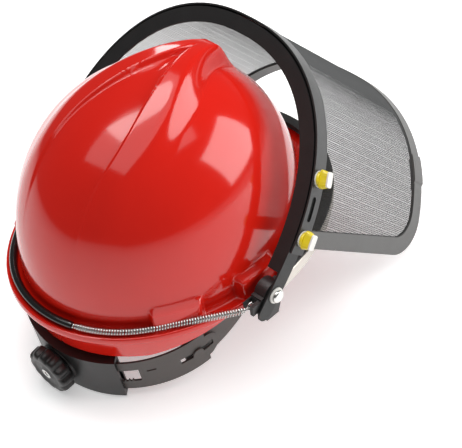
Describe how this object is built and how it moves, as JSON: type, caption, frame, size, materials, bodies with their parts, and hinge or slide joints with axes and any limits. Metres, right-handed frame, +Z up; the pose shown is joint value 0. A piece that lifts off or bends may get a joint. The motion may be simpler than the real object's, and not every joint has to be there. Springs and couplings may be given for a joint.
{
  "type": "forestry helmet",
  "caption": "Hard-shell forestry helmet with a raised wire-mesh visor on a side-pivoted arch, a spring tensioner and an adjustable harness.",
  "frame": {"origin": "centre of the head opening, level with the rain gutter", "axes": "+Z up, the wearer faces -Y, the wearer's right is -X"},
  "size_m": [0.2801, 0.3881, 0.238],
  "materials": {
    "shell_red": "gloss moulded plastic",
    "frame_aluminium": "satin",
    "seal_rubber": "matt",
    "black_plastic": "fine moulded grain",
    "bright_steel": "bright plated",
    "pale_washer": "natural nylon",
    "sleeve_vinyl": "gloss vinyl",
    "strap_grey": "matt",
    "pad_foam": "perforated foam cloth",
    "webbing": "woven",
    "arc_black": "matt black coat",
    "mesh_steel": "grey woven wire",
    "trim_grey": "satin grey",
    "strip_dark": "satin dark grey",
    "knob_yellow": "gloss",
    "pinion_plastic": "natural acetal"
  },
  "bodies": {
    "helmet": {"shell": "shell_red", "carrier_frame": "frame_aluminium", "frame_seal": "seal_rubber", "hinge_block_right": "black_plastic", "hinge_block_left": "black_plastic", "pivot_bolt_right": "bright_steel", "pivot_bolt_left": "bright_steel", "pivot_washer_right": "pale_washer", "pivot_washer_left": "pale_washer", "tension_hook_right": "bright_steel", "tension_hook_left": "bright_steel", "tension_pin_right": "bright_steel", "tension_pin_left": "bright_steel", "tension_spring": "bright_steel", "cable_sleeve": "sleeve_vinyl", "nape_bracket": "black_plastic", "nape_cover": "black_plastic", "headband_front": "strap_grey", "band_studs": "strap_grey", "sweatband": "pad_foam", "suspension_key_rear_right": "strap_grey", "suspension_key_rear_left": "strap_grey", "suspension_key_front_right": "strap_grey", "suspension_key_front_left": "strap_grey", "crown_strap_lower": "webbing", "crown_strap_upper": "webbing", "crown_pad": "pad_foam"},
    "visor": {"visor_arc": "arc_black", "visor_mesh": "mesh_steel", "visor_edge_trim": "trim_grey", "visor_clamp_strip": "strip_dark", "trim_joint_clip": "trim_grey", "visor_knob_studs": "bright_steel", "visor_knob_washers": "pale_washer", "visor_rivets": "bright_steel"},
    "visor_knob_lower": {"visor_knob_lower": "knob_yellow", "knob_cap_lower": "pale_washer"},
    "visor_knob_upper": {"visor_knob_upper": "knob_yellow", "knob_cap_upper": "pale_washer"},
    "ratchet": {"ratchet_knob": "black_plastic", "ratchet_pinion": "pinion_plastic", "ratchet_screw": "bright_steel"},
    "rear_strap_right": {"headband_rear_right": "strap_grey"},
    "rear_strap_left": {"headband_rear_left": "strap_grey"}
  },
  "joints": [
    {"name": "visor_hinge", "type": "hinge", "parent": "helmet", "child": "visor", "pos_m": [0, 0.002, 0.002], "axis": [1, 0, 0], "range_deg": [-25, 45]},
    {"name": "knob_turn_lower", "type": "hinge", "parent": "visor", "child": "visor_knob_lower", "pos_m": [-0.12987, -0.03195, 0.03683], "axis": [-0.9928, -0.0847, 0.0847], "range_deg": [-90, 90]},
    {"name": "knob_turn_upper", "type": "hinge", "parent": "visor", "child": "visor_knob_upper", "pos_m": [-0.11933, -0.06448, 0.06936], "axis": [-0.9414, -0.2385, 0.2385], "range_deg": [-90, 90]},
    {"name": "ratchet_turn", "type": "hinge", "parent": "helmet", "child": "ratchet", "pos_m": [0, 0.12707, -0.06422], "axis": [0, 0.9903, -0.1392], "range_deg": [-115, 115]},
    {"name": "rear_strap_right_slide", "type": "hinge", "parent": "helmet", "child": "rear_strap_right", "pos_m": [0, 0.033, -0.051], "axis": [0, 0.1392, 0.9903], "range_deg": [-8, 8]},
    {"name": "rear_strap_left_slide", "type": "hinge", "parent": "helmet", "child": "rear_strap_left", "pos_m": [0, 0.033, -0.051], "axis": [0, 0.1392, 0.9903], "range_deg": [-8, 8]}
  ],
  "couplings": [
    {"joint": "rear_strap_right_slide", "follows": "ratchet_turn", "ratio": 0.067492},
    {"joint": "rear_strap_left_slide", "follows": "ratchet_turn", "ratio": -0.069444}
  ]
}
